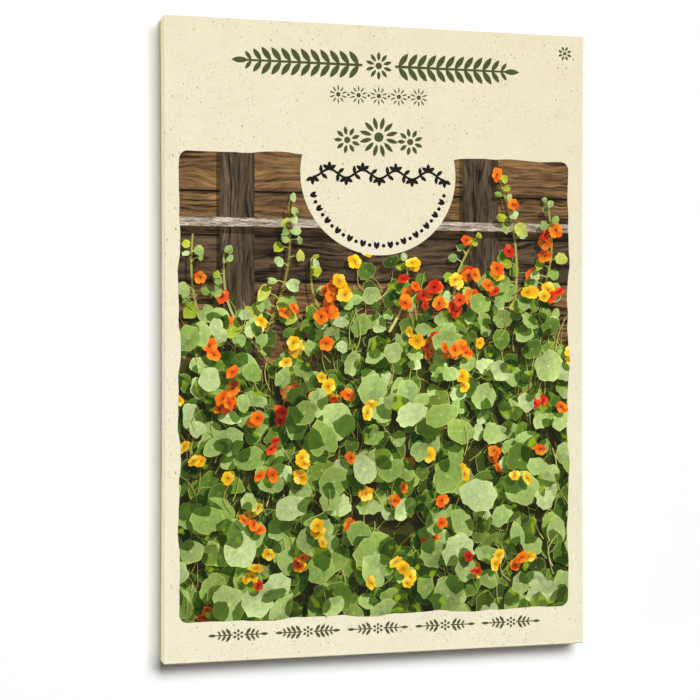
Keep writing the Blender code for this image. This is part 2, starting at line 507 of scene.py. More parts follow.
# %% [markdown]
# ## Where the front is
# The front isn't flat: it swells by a fraction of a millimetre. A ray from straight above finds its height at
# any point, so the print can follow it.

# %% Find the front's height


def front_height(envelope):
    """A function that gives the height of the packet's front above a point."""
    tree = BVHTree.FromObject(envelope, bpy.context.evaluated_depsgraph_get())

    def height(x, y):
        hit = tree.ray_cast(Vector((x, y, 2 * cad_high.z)), Vector((0, 0, -1)))
        return hit[0].z

    return height


front = front_height(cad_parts["paper_envelope"])
print("the front's middle is", round(front(0, 0) / MM, 2), "mm up")

# %% [markdown]
# ## Cutting a drawing
# A few loose points on a grid are added to the outlines, so that even a large plain area has corners with
# which to follow the swell. Each triangle then keeps the number of its topmost outline and a count of its
# shadows.

# %% Cut the outlines
GRID_STEP = 5.0
CUT_TOLERANCE = 1e-4


def own_place(point, fact):
    """Where a point is in its shape's frame: 1 is the shape's reach from its centre."""
    _, _, centre, turn, reach, squash, _ = fact
    x, y = turned(point[0] - centre[0], point[1] - centre[1], -turn)
    return x / reach, y / (reach * squash)


def cut_drawing(drawing, keep):
    """Triangulates the outlines and returns points, triangles, top shapes and shadow counts."""
    points = []
    faces = []
    for outline in drawing.outlines:
        faces.append(list(range(len(points), len(points) + len(outline))))
        points.extend(Vector(p) for p in outline)
    across, along = int(WIDTH / GRID_STEP), int(HEIGHT / GRID_STEP)
    for i in range(across):
        for j in range(along):
            x = (i + 0.5) * WIDTH / across - WIDTH / 2
            y = (j + 0.5) * HEIGHT / along - HEIGHT / 2
            points.append(Vector((x, y)))
    result = delaunay_2d_cdt(points, [], faces, 0, CUT_TOLERANCE, True)
    corners, _, triangles, _, _, holders = result
    kept = []
    for triangle, inside in zip(triangles, holders):
        if not keep(inside):
            continue
        solid = [i for i in inside if drawing.facts[i][0] != SHADOW]
        top = max(solid)
        dark = sum(1 for i in inside if i > top)
        kept.append((triangle, top, dark))
    return corners, kept


print("a grid of", int(WIDTH / GRID_STEP), "by", int(HEIGHT / GRID_STEP), "loose points")

# %% [markdown]
# ## Joining what looks alike
# The cut leaves several times more triangles than the drawing needs. Neighbours with the same shape and the
# same shadows are joined, within cells of a centimetre so that the sheet still follows the swell, and the
# larger faces are cut again into as few triangles as they need.

# %% Join the triangles
CELL = 10.0
SAME_WAY = 2.0


def join_alike(mesh):
    """Joins neighbours of the same look into larger faces, and cuts those into fewer triangles."""
    sheet = bmesh.new()
    sheet.from_mesh(mesh)
    shape, dark = (sheet.faces.layers.int[name] for name in ("shape", "dark"))
    looks = {}
    for face in sheet.faces:
        middle = face.calc_center_median() / (MM * CELL)
        looks[face] = (face[shape], face[dark], math.floor(middle.x), math.floor(middle.y))
    for edge in sheet.edges:
        edge.seam = len({looks[face] for face in edge.link_faces}) > 1
    limit = math.radians(SAME_WAY)
    bmesh.ops.dissolve_limit(sheet, angle_limit=limit, verts=sheet.verts, edges=sheet.edges, delimit={"SEAM"})
    bmesh.ops.triangulate(sheet, faces=sheet.faces)
    sheet.to_mesh(mesh)
    sheet.free()


print("joined within cells of", CELL, "mm")

# %% [markdown]
# ## What the finish reads
# Each corner of the print stores its colour, its place in its own shape, what kind of shape that is and how
# many shadows cross it. One material can then draw every leaf and petal on its own axes.

# %% Store and lay the print
PRINT_LIFT = 0.00003


def add_attributes(mesh, drawing):
    """Stores each corner's colour, place in its shape, kind and shadow for the finish to read."""
    shapes, darks = ([item.value for item in mesh.attributes[name].data] for name in ("shape", "dark"))
    tones, places, kinds, shades = [], [], [], []
    for face in mesh.polygons:
        fact = drawing.facts[shapes[face.index]]
        kind_row = [1.0 if fact[0] == name else 0.0 for name in ("leaf", "petal", "board")]
        for number in face.vertices:
            x, y, _ = mesh.vertices[number].co / MM
            tones.extend((*fact[1], 1.0))
            places.extend((*own_place((x, y), fact), fact[6]))
            kinds.extend(kind_row)
            shades.append(float(darks[face.index]))
    for name, kind, values, field in (
        ("tone", "FLOAT_COLOR", tones, "color"),
        ("place", "FLOAT_VECTOR", places, "vector"),
        ("kind", "FLOAT_VECTOR", kinds, "vector"),
        ("shade", "FLOAT", shades, "value"),
    ):
        layer = mesh.attributes.new(name, kind, "CORNER")
        layer.data.foreach_set(field, values)


def add_print_map(mesh):
    """A flat UV map, straight down on to the front."""
    layer = mesh.uv_layers.new(name="OFBake")
    for loop in mesh.loops:
        x, y, _ = mesh.vertices[loop.vertex_index].co
        layer.data[loop.index].uv = (0.5 + x / (WIDTH * MM), 0.5 + y / (HEIGHT * MM))


def print_mesh(name, drawing, keep, material):
    corners, kept = cut_drawing(drawing, keep)
    used = sorted({i for triangle, _, _ in kept for i in triangle})
    number = {old: new for new, old in enumerate(used)}
    verts = []
    for old in used:
        x, y = corners[old][0] * MM, corners[old][1] * MM
        verts.append((x, y, front(x, y) + PRINT_LIFT))
    faces = [[number[i] for i in triangle] for triangle, _, _ in kept]
    mesh = bpy.data.meshes.new(name)
    mesh.from_pydata(verts, [], faces)
    mesh.attributes.new("shape", "INT", "FACE").data.foreach_set("value", [top for _, top, _ in kept])
    mesh.attributes.new("dark", "INT", "FACE").data.foreach_set("value", [dark for _, _, dark in kept])
    join_alike(mesh)
    add_attributes(mesh, drawing)
    add_print_map(mesh)
    mesh.materials.append(material)
    obj = bpy.data.objects.new(name, mesh)
    bpy.context.collection.objects.link(obj)
    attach(obj, "root")
    print(name, len(drawing.outlines), "outlines,", len(faces), "triangles cut,", len(mesh.polygons), "kept")


print("the print lies", PRINT_LIFT / MM, "mm above the paper")

# %% [markdown]
# ## The picture: its frame
# The picture fills a panel with rounded corners and slightly uneven edges, like a print from a hand-cut
# block. A round badge of bare paper bites into its top edge. The badge is left bare but for ornament.

# %% The panel and the badge
PANEL_LEFT, PANEL_RIGHT = -53.5, 52.8
PANEL_BOTTOM, PANEL_TOP = -72.1, 48.2
PANEL_CORNER = 2.2
EDGE_WAVE = 0.34
EDGE_WAVES = ((0.21, 1.0), (0.47, 0.55), (0.93, 0.3))
BADGE_CENTRE = (-0.7, 43.4)
BADGE_RADIUS = 21.2


def uneven(distance, seed):
    """How far the cut edge strays at a distance along it."""
    off = 0
    for i, (pitch, size) in enumerate(EDGE_WAVES):
        off += size * math.sin(pitch * distance + seed * (i + 1.7))
    return EDGE_WAVE * off


def side_points(start, end, seed, step=2.0):
    """A straight side from start to end whose points stray to the left and right of it."""
    length = math.dist(start, end)
    count = int(length / step)
    along = ((end[0] - start[0]) / length, (end[1] - start[1]) / length)
    points = []
    for i in range(count + 1):
        distance = length * i / count
        off = uneven(distance, seed) * math.sin(math.pi * i / count) ** 0.5
        x = start[0] + along[0] * distance - along[1] * off
        y = start[1] + along[1] * distance + along[0] * off
        points.append((x, y))
    return points


def panel_outline():
    left, right, low, high, r = PANEL_LEFT, PANEL_RIGHT, PANEL_BOTTOM, PANEL_TOP, PANEL_CORNER
    sides = (
        ((left + r, low), (right - r, low)),
        ((right, low + r), (right, high - r)),
        ((right - r, high), (left + r, high)),
        ((left, high - r), (left, low + r)),
    )
    centres = ((right - r, low + r), (right - r, high - r), (left + r, high - r), (left + r, low + r))
    outline = []
    for i, (side, centre) in enumerate(zip(sides, centres)):
        outline += side_points(*side, seed=i * 1.9 + 0.4)
        for step in range(1, 5):
            angle = math.pi / 2 * (i - 1 + step / 5)
            outline.append(around(centre, r, angle))
    return outline


print("panel", PANEL_RIGHT - PANEL_LEFT, "x", PANEL_TOP - PANEL_BOTTOM, "mm")

# %% [markdown]
# ## The picture: the wall
# Behind the plant stands a dark wall of weathered boards that lie on their sides, with two broad posts and a
# grey ledge. Each is a plain rectangle. Its grain comes from the finish, which reads the timber's own random
# number, so that no two match, and the turn of its frame, so that the grain of a post runs upwards.

# %% Timber
BOARD_TONES = (srgb(112, 84, 52), srgb(78, 62, 44), srgb(140, 100, 56), srgb(62, 51, 38), srgb(92, 75, 54))
POST_TONE = srgb(84, 70, 52)
GAP_TONE = srgb(20, 14, 10)
LEDGE_TONE = srgb(168, 154, 136)
BOARD_HEIGHT = 11.0
BOARD_GAP = 0.5
POSTS = ((-38.5, 9.0), (27.5, 10.0))
LEDGE_HEIGHTS = (29.0, 31.4)
POST_STANDS = 1.2
LEDGE_STANDS = 1.9
OVER = 3.0
UPRIGHT = math.pi / 2
SHADOW_SLIDE = (-0.8, -0.95)


def box(left, right, low, high):
    return [(left, low), (right, low), (right, high), (left, high)]


def cast(drawing, outline, height):
    """The shadow of a shape that stands a height in front, thrown to the lower left."""
    slide = (SHADOW_SLIDE[0] * height, SHADOW_SLIDE[1] * height)
    thrown = [(x + slide[0], y + slide[1]) for x, y in outline]
    drawing.paint(thrown, SHADOW, (0, 0, 0))


def paint_box(drawing, sides, kind, tone, turn=0.0, draw=0.0):
    left, right, low, high = sides
    centre = ((left + right) / 2, (low + high) / 2)
    reach = (high - low if turn == 0 else right - left) / 2
    drawing.paint(box(*sides), kind, tone, centre, turn, reach, 1.0, draw)


def paint_wall(drawing, draw):
    left, right = PANEL_LEFT - OVER, PANEL_RIGHT + OVER
    foot, head = PANEL_BOTTOM - OVER, PANEL_TOP + OVER
    paint_box(drawing, (left, right, foot, head), "plain", GAP_TONE)
    low = foot
    while low < head:
        height = BOARD_HEIGHT * draw.uniform(0.8, 1.25)
        tone = dim(draw.choice(BOARD_TONES), draw.uniform(0.75, 1.15))
        sides = (left, right, low, low + height - BOARD_GAP)
        paint_box(drawing, sides, "board", tone, 0.0, draw.random())
        low += height
    for middle, width in POSTS:
        across = (middle - width / 2, middle + width / 2)
        cast(drawing, box(*across, PANEL_BOTTOM, head), POST_STANDS)
        tone = dim(POST_TONE, draw.uniform(0.85, 1.1))
        paint_box(drawing, (*across, foot, head), "board", tone, UPRIGHT, draw.random())
    ledge = (left, right, *LEDGE_HEIGHTS)
    cast(drawing, box(*ledge), LEDGE_STANDS)
    paint_box(drawing, ledge, "board", LEDGE_TONE, 0.0, draw.random())


print(len(BOARD_TONES), "tones of board,", len(POSTS), "posts and a ledge")

# %% [markdown]
# ## The picture: leaves
# Some leaves are round and shallowly lobed, and some are heart shaped. They are turned every way, so each
# outline is squashed by how far the leaf leans. Its veins are drawn by the finish from the leaf's own frame,
# so they lean with it. Each leaf throws a crisp shadow to the lower left on what was painted before it, and
# some leaves are crossed by the shadow of one that isn't in the picture. Larger leaves have a thin pale rim,
# which is the whole leaf painted first in a paler tone.

# %% Leaves
LIGHT_GREENS = (
    srgb(150, 174, 94),
    srgb(166, 187, 110),
    srgb(136, 162, 76),
    srgb(182, 200, 134),
    srgb(158, 182, 104),
)
DEEP_GREENS = (srgb(74, 100, 30), srgb(90, 118, 38), srgb(58, 80, 22), srgb(106, 130, 46))
SUN_GREENS = (srgb(170, 182, 48), srgb(150, 168, 46), srgb(190, 194, 84))
HEART_SHARE = 0.22
FINE_FROM = 2.4
FINE_POINTS, COARSE_POINTS, BLOT_POINTS = 20, 13, 11
RIMMED = 2.1
RIM_SHARE = 0.95
RIM_TONE = srgb(216, 218, 118)
RIM_BLEND = 0.36


def round_leaf(draw, radius, points):
    """A round leaf with shallow lobes, none quite like the next."""
    lobes = draw.choice((5, 6, 7, 8))
    depth = draw.uniform(0.04, 0.1)
    start = draw.uniform(0, 6)
    sway = draw.uniform(0, 6)
    outline = []
    for i in range(points):
        angle = 2 * math.pi * i / points
        wave = depth * math.cos(lobes * angle + start)
        drift = 0.07 * math.cos(2 * angle + sway) + 0.05 * math.cos(3 * angle - sway)
        reach = radius * (1 + wave + drift + draw.uniform(-0.03, 0.03))
        outline.append(around((0, 0), reach, angle))
    return outline


def heart_leaf(draw, radius, points):
    """A heart-shaped leaf: a notch at the stalk behind it, and a drawn-out tip in front."""
    tip = draw.uniform(0.18, 0.32)
    outline = []
    for i in range(points):
        angle = 2 * math.pi * i / points
        from_tip = angle if angle < math.pi else angle - 2 * math.pi
        ahead = math.exp(-(from_tip / 0.32) ** 2)
        behind = math.exp(-((angle - math.pi) / 0.38) ** 2)
        reach = radius * (0.96 + tip * ahead - 0.5 * behind + draw.uniform(-0.03, 0.03))
        outline.append(around((0, 0), reach, angle))
    return outline


def paint_leaf(drawing, draw, centre, radius, tones, height=1.0, marked=0.0):
    """A leaf with its shadow, a pale rim if it is large, and with luck a shadow from a leaf unseen."""
    points = FINE_POINTS if radius > FINE_FROM else COARSE_POINTS
    outline_of = heart_leaf if draw.random() < HEART_SHARE else round_leaf
    shape = outline_of(draw, radius, points)
    squash = draw.uniform(0.62, 1.0)
    turn = draw.uniform(0, 2 * math.pi)
    outline = placed(shape, centre, turn, squash)
    cast(drawing, outline[::2], height * draw.uniform(0.7, 1.6))
    tone = dim(draw.choice(tones), draw.uniform(0.82, 1.15))
    mine = (centre, turn, radius, squash, draw.random())
    if radius > RIMMED:
        rim = tuple(part + RIM_BLEND * (other - part) for part, other in zip(tone, RIM_TONE))
        drawing.paint(outline, "leaf", rim, *mine)
        shape = [(x * RIM_SHARE, y * RIM_SHARE) for x, y in shape]
    drawing.paint(placed(shape, centre, turn, squash), "leaf", tone, *mine)
    if draw.random() < marked:
        away = draw.uniform(0, 2 * math.pi)
        spot = around(centre, radius * draw.uniform(0.75, 1.15), away)
        blot = round_leaf(draw, radius * draw.uniform(0.65, 1.1), BLOT_POINTS)
        drawing.paint(placed(blot, spot, away, draw.uniform(0.5, 0.9)), SHADOW, (0, 0, 0))


print(len(LIGHT_GREENS), "light greens and", len(DEEP_GREENS), "deep ones")

# %% [markdown]
# ## The picture: stems
# Stems show in every gap between the leaves. A stem is a narrow ribbon along a bowed line, a little thinner
# at its end, with its own shadow.

# %% Stems
STEM_TONES = (srgb(176, 178, 84), srgb(146, 160, 66), srgb(194, 192, 112), srgb(158, 142, 66))


def ribbon(points, width_start, width_end):
    """A strip along a line of points, that narrows from its start to its end."""
    left, right = [], []
    for i, (x, y) in enumerate(points):
        before = points[max(i - 1, 0)]
        after = points[min(i + 1, len(points) - 1)]
        length = math.dist(before, after)
        nx, ny = -(after[1] - before[1]) / length, (after[0] - before[0]) / length
        half = (width_start + (width_end - width_start) * i / (len(points) - 1)) / 2
        left.append((x + nx * half, y + ny * half))
        right.append((x - nx * half, y - ny * half))
    return right + left[::-1]


def paint_stem(drawing, draw, points, width, height=1.0):
    outline = ribbon(points, width, width * 0.6)
    cast(drawing, outline, height)
    drawing.paint(outline, "plain", dim(draw.choice(STEM_TONES), draw.uniform(0.65, 1.25)))


def bowed(start, end, bow, count=6):
    """A line of count points from start to end that bows sideways by a share of its length."""
    points = []
    dx, dy = end[0] - start[0], end[1] - start[1]
    for i in range(count):
        t = i / (count - 1)
        side = bow * math.sin(math.pi * t)
        points.append((start[0] + dx * t - dy * side, start[1] + dy * t + dx * side))
    return points


print("stems in", len(STEM_TONES), "tones")

# %% [markdown]
# ## The picture: flowers
# Each flower has five ruffled petals round a small throat, in yellow, orange or red. The petals overlap a
# little, each a shade apart, and the finish streaks them from the throat outwards.

# %% Flowers
FLOWER_TONES = {
    "orange": (srgb(244, 116, 20), srgb(234, 92, 18), srgb(250, 142, 30)),
    "red": (srgb(222, 58, 22), srgb(204, 42, 18), srgb(238, 84, 30)),
    "yellow": (srgb(250, 200, 28), srgb(244, 178, 22), srgb(254, 222, 84)),
}
THROAT_TONES = {"orange": srgb(150, 40, 10), "red": srgb(90, 14, 10), "yellow": srgb(200, 104, 12)}


def petal_outline(length):
    """A petal from the throat along its own X: narrow at the claw, broad and ruffled at the edge."""
    outline = [(0.0, -0.1 * length)]
    for i in range(9):
        angle = math.pi * 0.45 * (i / 4 - 1)
        edge = 0.5 + 0.045 * math.cos(7 * angle)
        outline.append((length * (0.5 + edge * math.cos(angle)), length * edge * math.sin(angle)))
    outline.append((0.0, 0.1 * length))
    return outline


def paint_flower(drawing, draw, centre, size, colour, height=1.5):
    face = draw.uniform(0, 2 * math.pi)
    lean = draw.uniform(0.55, 1.0)
    spin = draw.uniform(0, 2 * math.pi)
    cast(drawing, placed(ring(size * 0.95, 10), centre, face, lean), height)
    for i in range(5):
        turn = spin + 2 * math.pi * i / 5
        length = size * draw.uniform(0.85, 1.1)
        shape = [turned(x, y, turn) for x, y in petal_outline(length)]
        tone = dim(draw.choice(FLOWER_TONES[colour]), draw.uniform(0.78, 1.08))
        petal = placed(shape, centre, face, lean)
        drawing.paint(petal, "petal", tone, centre, face, size, lean, draw.random())
    throat = placed(ring(size * 0.19, 7), centre, face, lean)
    drawing.paint(throat, "plain", THROAT_TONES[colour])


print("flowers in", ", ".join(FLOWER_TONES))

# %% [markdown]
# ## The picture: shoots
# Shoots climb out of the mass up the wall. Small leaves stand off a shoot on short stalks, smaller towards
# its tip, and here and there a flower takes a leaf's place.

# %% Shoots
SHOOT_WIDTH = 0.75
STALK_WIDTH = 0.32
LEAF_EVERY = 2.2
BARE_SHARE = 0.4
FLOWER_SHARE = 0.16


def paint_shoot(drawing, draw, foot, tip, bow):
    steps = max(int(math.dist(foot, tip) / LEAF_EVERY), 4)
    line = bowed(foot, tip, bow, steps + 1)
    paint_stem(drawing, draw, line, SHOOT_WIDTH, 1.8)
    for i in range(1, steps + 1):
        share = i / steps
        for side in (-1, 1):
            if draw.random() < BARE_SHARE:
                continue
            reach = (4.2 - 3.2 * share) * draw.uniform(0.6, 1.4)
            centre = (line[i][0] + side * reach, line[i][1] + draw.uniform(-0.4, 2.0))
            paint_stem(drawing, draw, bowed(line[i], centre, 0.1 * side, 4), STALK_WIDTH, 1.4)
            if draw.random() < FLOWER_SHARE:
                paint_flower(drawing, draw, centre, draw.uniform(1.7, 2.3), draw.choice(("orange", "red")))
                continue
            tones = LIGHT_GREENS if draw.random() < 0.75 else SUN_GREENS
            radius = (2.5 - 1.4 * share) * draw.uniform(0.7, 1.2)
            paint_leaf(drawing, draw, centre, radius, tones, 1.4)


print("up to two leaves every", LEAF_EVERY, "mm of a shoot")

# %% [markdown]
# ## The picture: composing it
# The mass of leaves is planted in layers from the back, small and deep green, to the front, larger and
# lighter, and loose enough that stems and dark gaps show between them. Shoots rise from it, and flowers are
# dotted through it in ones, twos and threes, thicker near its top. All chance comes from one seeded draw, so
# the picture is the same each time.

# %% The layers of the picture
PICTURE_SEED = 11
GROUND_TONE = srgb(60, 62, 18)
Layer = namedtuple("Layer", "spacing radius tones drop height kept marked")
BACK_LEAVES = Layer(5.2, 3.0, DEEP_GREENS, -2.0, 1.4, 0.62, 0.0)
MIDDLE_LEAVES = Layer(5.6, 3.0, LIGHT_GREENS + DEEP_GREENS, 0.0, 1.7, 0.68, 0.3)
NEAR_LEAVES = Layer(7.4, 3.4, LIGHT_GREENS + DEEP_GREENS[1:2], 4.0, 2.0, 0.6, 0.7)
FRONT_LEAVES = Layer(9.6, 4.1, LIGHT_GREENS, 7.0, 2.3, 0.56, 0.9)
MASS_DEPTH = 60.0
ROW_SHARE = 0.9
PAST_EDGE = 2
SHOOTS = (
    ((-45, -2), (-50, 27), 0.08),
    ((-31, 2), (-25, 35), -0.08),
    ((-31, -4), (-42, 22), 0.14),
    ((-11, 2), (-19, 21), 0.15),
    ((2, 2), (7, 21), -0.1),
    ((21, 2), (26, 27), 0.12),
    ((37, 6), (33, 43), -0.07),
    ((40, 4), (47, 36), -0.12),
)
FLOWER_DRAWS = ("orange", "orange", "orange", "red", "yellow", "yellow", "yellow")


def mass_top(x):
    """How high the mass of leaves stands above a point of the ground."""
    return 14 + 6 * math.sin(x / 15 + 0.9) + 4 * math.sin(x / 6.3 + 2) + x * 0.05


def paint_mass(drawing, draw, layer):
    """One layer of the mass: leaves on a loose grid, the deeper in the mass the larger."""
    y = PANEL_TOP
    row = 0
    while y > PANEL_BOTTOM - PAST_EDGE:
        x = PANEL_LEFT - PAST_EDGE + (row % 2) * layer.spacing / 2
        while x < PANEL_RIGHT + PAST_EDGE:
            astray = (draw.uniform(-0.5, 0.5) * layer.spacing, draw.uniform(-0.5, 0.5) * layer.spacing)
            centre = (x + astray[0], y + astray[1])
            top = mass_top(centre[0])
            depth = min(max((top - centre[1]) / MASS_DEPTH, 0), 1)
            size = layer.radius * (0.66 + 0.5 * depth) * draw.uniform(0.65, 1.25)
            inside = centre[1] < top - layer.drop + draw.uniform(-5, 2)
            if inside and draw.random() < layer.kept + 0.2 * (1 - depth):
                marked = layer.marked * (0.4 + 0.6 * depth)
                paint_leaf(drawing, draw, centre, size, layer.tones, layer.height, marked)
            x += layer.spacing
        y -= layer.spacing * ROW_SHARE
        row += 1


print(len(SHOOTS), "shoots and four layers of leaves")

# %% What fills the gaps


def paint_tangle(drawing, draw, count):
    """Stalks that cross the dark gaps between the leaves."""
    for _ in range(count):
        x = draw.uniform(PANEL_LEFT, PANEL_RIGHT)
        y = draw.uniform(PANEL_BOTTOM - PAST_EDGE, mass_top(x) - 8)
        end = (x + draw.uniform(-5, 5), y + draw.uniform(3, 10))
        line = bowed((x, y), end, draw.uniform(-0.3, 0.3))
        paint_stem(drawing, draw, line, draw.uniform(0.18, 0.32), 0.5)


def paint_flowers(drawing, draw, bunches, crowding):
    """Bunches of one to three flowers of a colour, the nearer to the mass's top the larger crowding is."""
    for _ in range(bunches):
        x = draw.uniform(PANEL_LEFT + 1, PANEL_RIGHT - 1)
        fall = draw.random() ** crowding
        y = mass_top(x) + 4 - fall * (mass_top(x) + 3 - PANEL_BOTTOM)
        colour = draw.choice(FLOWER_DRAWS)
        for _ in range(draw.choice((1, 1, 2, 2, 3))):
            centre = (x + draw.uniform(-2.6, 2.6), y + draw.uniform(-2.6, 2.6))
            paint_flower(drawing, draw, centre, draw.uniform(1.5, 2.4), colour)


def paint_ground(drawing, draw):
    """The dark inside of the plant, under its leaves."""
    left, right, low = PANEL_LEFT - OVER, PANEL_RIGHT + OVER, PANEL_BOTTOM - OVER
    ground = [(left, low), (right, low)]
    x = right
    while x > left:
        ground.append((x, mass_top(x) - 15 + draw.uniform(-2, 2)))
        x -= 2.5
    drawing.paint(ground, "plain", GROUND_TONE)


print("flowers drawn from", len(FLOWER_DRAWS), "lots")

# %% Compose the picture
BACK_STALKS, MIDDLE_STALKS, NEAR_STALKS = 260, 170, 24
MIDDLE_BUNCHES, NEAR_BUNCHES, FRONT_BUNCHES = (34, 1.4), (26, 1.2), (40, 1.6)


def paint_picture():
    draw = random.Random(PICTURE_SEED)
    drawing = Drawing()
    drawing.paint(panel_outline(), "frame", GAP_TONE)
    drawing.paint(placed(ring(BADGE_RADIUS, 96), BADGE_CENTRE, 0), "frame", GAP_TONE)
    paint_wall(drawing, draw)
    paint_ground(drawing, draw)
    paint_mass(drawing, draw, BACK_LEAVES)
    paint_tangle(drawing, draw, BACK_STALKS)
    for foot, tip, bow in SHOOTS:
        paint_shoot(drawing, draw, foot, tip, bow)
    paint_mass(drawing, draw, MIDDLE_LEAVES)
    paint_flowers(drawing, draw, *MIDDLE_BUNCHES)
    paint_tangle(drawing, draw, MIDDLE_STALKS)
    paint_mass(drawing, draw, NEAR_LEAVES)
    paint_flowers(drawing, draw, *NEAR_BUNCHES)
    paint_tangle(drawing, draw, NEAR_STALKS)
    paint_mass(drawing, draw, FRONT_LEAVES)
    paint_flowers(drawing, draw, *FRONT_BUNCHES)
    return drawing


picture = paint_picture()
print("the picture has", len(picture.outlines), "outlines")

# %% [markdown]
# ## The picture: its finish
# The print's finish reads what each triangle stores. Leaves get faint veins, a pale dot over the stalk, a
# duller half and some mottling. A shadow on a leaf turns its chalky green deep and full, because the sky's
# sheen is gone from it, and some leaves let the sun through in yellow-green.

# %% The finish of leaves
VEINS = 9
VEIN_LIGHT = 0.36
SLOPE_LIGHT = 0.14
DULL_HALF = 0.24
MOTTLE = 1.25
LEAF_LIGHT = 1.04
STALK_TONE = srgb(200, 214, 158)
LEAF_SHADE = (0.22, 0.31, 0.11)
SUN_THROUGH = srgb(150, 180, 30)


def attribute(tree, name, output="Vector"):
    node = tree.nodes.new("ShaderNodeAttribute")
    node.attribute_name = name
    return node.outputs[output]


def round_place(tree, place):
    """How far out a point is in its shape, and at what angle."""
    u, v, _ = place
    squares = (times(tree, side, side) for side in (u, v))
    return sums(tree, "SQRT", plus(tree, *squares)), sums(tree, "ARCTAN2", v, u)


def leaf_detail(tree, tone, place, where):
    radius, angle = round_place(tree, place)
    wave = sums(tree, "ABSOLUTE", sums(tree, "SINE", times(tree, angle, VEINS / 2)))
    apart = times(tree, wave, radius, 2 / VEINS)
    fading = ramp(tree, radius, 0.95, 0.1, 0.0, VEIN_LIGHT)
    vein = times(tree, ramp(tree, apart, 0.03, 0.006), fading)
    half = times(tree, ramp(tree, place[1], 0.2, -0.1), ramp(tree, place[2], 0.35, 0.75))
    dull = times(tree, half, DULL_HALF)
    slope = times(tree, place[0], SLOPE_LIGHT)
    lit = plus(tree, sums(tree, "SUBTRACT", slope, dull), vein)
    cup = ramp(tree, radius, 0.2, 1.05, -0.06, 0.10)
    cells = sums(tree, "SUBTRACT", noise(tree, where, 760, 5.0, 0.75), 0.5)
    mottle = times(tree, cells, MOTTLE)
    light = plus(tree, lit, cup, mottle, LEAF_LIGHT)
    tone = scaled(tree, tone, light)
    return blend_colour(tree, ramp(tree, radius, 0.09, 0.04, 0.0, 0.5), tone, STALK_TONE)


def leaf_in_shade(tree, tone, place, where):
    deep = blend_colour(tree, 1.0, tone, LEAF_SHADE, "MULTIPLY")
    patch = ramp(tree, noise(tree, where, 320, 1.0), 0.52, 0.66)
    chosen = ramp(tree, place[2], 0.5, 0.75)
    through = times(tree, patch, chosen, 0.8)
    return blend_colour(tree, through, deep, SUN_THROUGH)


print("leaves with", VEINS, "veins")

# %% [markdown]
# Petals are darker at the throat and get fine streaks outwards. Timber gets long grain that bends as it runs,
# a few cracks and darker edges.

# %% The finish of petals and timber
STREAKS = 30.0
STREAK_LIGHT = 0.1


def petal_detail(tree, tone, place):
    radius, angle = round_place(tree, place)
    wave = sums(tree, "SINE", times(tree, angle, STREAKS))
    streak = times(tree, wave, STREAK_LIGHT)
    light = plus(tree, ramp(tree, radius, 0.1, 0.9, 0.7, 1.15), streak)
    return scaled(tree, tone, light)


def timber_detail(tree, tone, place):
    """Grain along the timber: its own frame has X along it, Y across it and its own number as Z."""
    even = attribute(tree, "place")
    bend = noise(tree, stretched(tree, even, (0.35, 0.9, 17)), 1.0, 2.0)
    shift = tree.nodes.new("ShaderNodeVectorMath")
    shift.operation = "MULTIPLY_ADD"
    wire(tree, shift.inputs[0], bend)
    shift.inputs[1].default_value = (0.0, 0.9, 0.0)
    wire(tree, shift.inputs[2], even)
    lie = shift.outputs[0]
    fine = noise(tree, stretched(tree, lie, (0.5, 7.0, 51)), 1.0, 7.0, 0.8)
    broad = noise(tree, stretched(tree, lie, (0.22, 1.6, 37)), 1.0, 3.0)
    rift = noise(tree, stretched(tree, lie, (0.18, 3.2, 29)), 1.0, 1.0)
    crack = ramp(tree, rift, 0.34, 0.31, 1.0, 0.25)
    light = plus(tree, ramp(tree, fine, 0.35, 0.65, 0.1, 1.85), ramp(tree, broad, 0.3, 0.7, -0.3, 0.4))
    curl = ramp(tree, bend, 0.3, 0.7, 0.75, 1.2)
    edge = ramp(tree, sums(tree, "ABSOLUTE", place[1]), 0.82, 1.0, 1.0, 0.5)
    return scaled(tree, tone, times(tree, light, curl, crack, edge))


print("petals with", STREAKS, "streaks round their throat")

# %% [markdown]
# The ink takes the right one of these finishes by the shape's kind. The whole print then has broad patches of
# light and shade, is a little darker towards its foot, and is deeper where two shadows cross.

# %% The picture's ink
PLAIN_SHADE = (0.42, 0.41, 0.28)
DEEP_SHADE = 0.55


def make_picture_ink():
    material, tree, surface, where = new_finish("picture_ink", 0.88)
    tone = attribute(tree, "tone", "Color")
    place = split(tree, attribute(tree, "place"))
    kinds = split(tree, attribute(tree, "kind"))
    shade = attribute(tree, "shade", "Fac")
    shaded = sums(tree, "MINIMUM", shade, 1.0)
    leaf = leaf_detail(tree, tone, place, where)
    leaf = blend_colour(tree, shaded, leaf, leaf_in_shade(tree, leaf, place, where))
    other = blend_colour(tree, kinds[1], tone, petal_detail(tree, tone, place))
    other = blend_colour(tree, kinds[2], other, timber_detail(tree, tone, place))
    other = blend_colour(tree, shaded, other, blend_colour(tree, 1.0, other, PLAIN_SHADE, "MULTIPLY"))
    result = blend_colour(tree, kinds[0], other, leaf)
    twice = sums(tree, "MINIMUM", sums(tree, "MAXIMUM", sums(tree, "SUBTRACT", shade, 1.0), 0.0), 1.0)
    deeper = sums(tree, "SUBTRACT", 1.0, times(tree, twice, 1 - DEEP_SHADE))
    patches = ramp(tree, noise(tree, where, 60, 2.0), 0.3, 0.7, 0.86, 1.12)
    rise = ramp(tree, split(tree, where)[1], -60 * MM, 0.0, 0.9, 1.06)
    result = scaled(tree, result, times(tree, patches, rise, deeper))
    wire(tree, surface.inputs["Base Color"], result)
    wire(tree, surface.inputs["Normal"], paper_bump(tree, where, 0.2))
    return material


def in_panel(inside):
    """True for a triangle in the panel and outside the badge, the first two outlines."""
    return 0 in inside and 1 not in inside


picture_ink = make_picture_ink()
print_mesh("front_picture", picture, in_panel, picture_ink)

